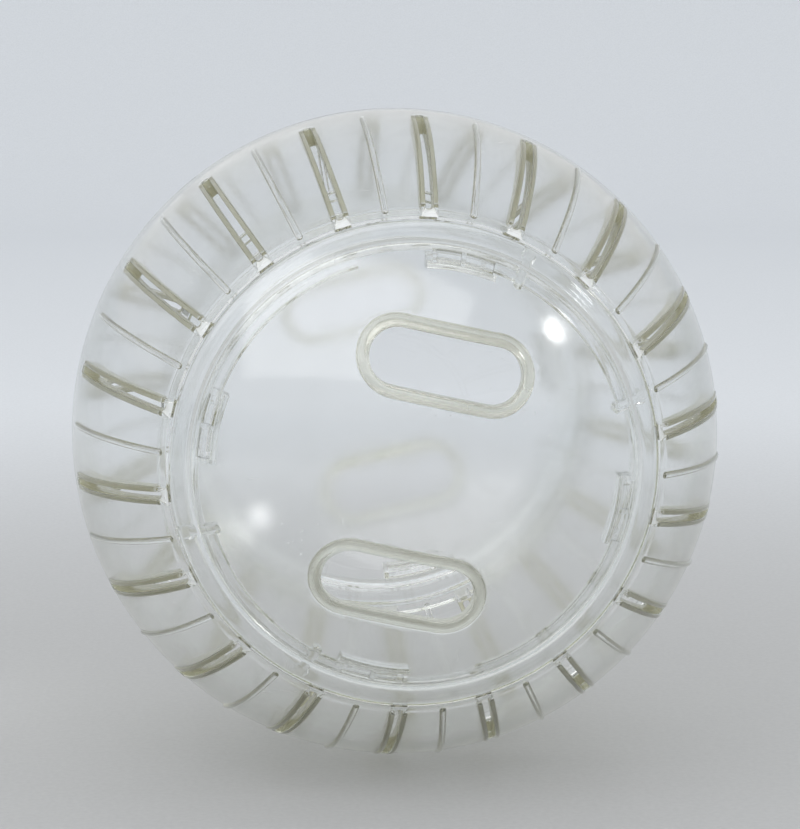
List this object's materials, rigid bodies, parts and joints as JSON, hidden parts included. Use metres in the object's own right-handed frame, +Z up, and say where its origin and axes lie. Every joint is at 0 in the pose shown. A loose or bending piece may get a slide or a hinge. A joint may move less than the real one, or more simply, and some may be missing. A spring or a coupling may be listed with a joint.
{
  "type": "hamster ball",
  "caption": "Clear plastic ball that a hamster runs in: slotted half shells lapped at a seam, each with a round door with finger holes that turns under a lip to lock",
  "frame": {"origin": "centre of the ball, in the plane of the seam", "axes": "+Y along the ball's own axis, from the front door to the rear door; +Z up; +X to the right seen from the front door"},
  "size_m": [0.1778, 0.1778, 0.1778],
  "materials": {
    "clear_shell": "clear, polished, faintly olive where the light runs along the wall",
    "clear_door": "clear, polished"
  },
  "bodies": {
    "rear_half": {"rear_half_shell": "clear_shell"},
    "front_half": {"front_half_shell": "clear_shell"},
    "front_door": {"front_door": "clear_door"},
    "rear_door": {"rear_door": "clear_door"}
  },
  "joints": [
    {"name": "half_pull", "type": "slide", "parent": "rear_half", "child": "front_half", "axis": [0, -1, 0], "range_m": [0, 0.1]},
    {"name": "front_door_turn", "type": "hinge", "parent": "front_half", "child": "front_door", "pos_m": [0, 0, 0], "axis": [0, -1, 0], "range_deg": [-1.4, 17]},
    {"name": "rear_door_turn", "type": "hinge", "parent": "rear_half", "child": "rear_door", "pos_m": [0, 0, 0], "axis": [0, 1, 0], "range_deg": [-1.4, 17]}
  ]
}
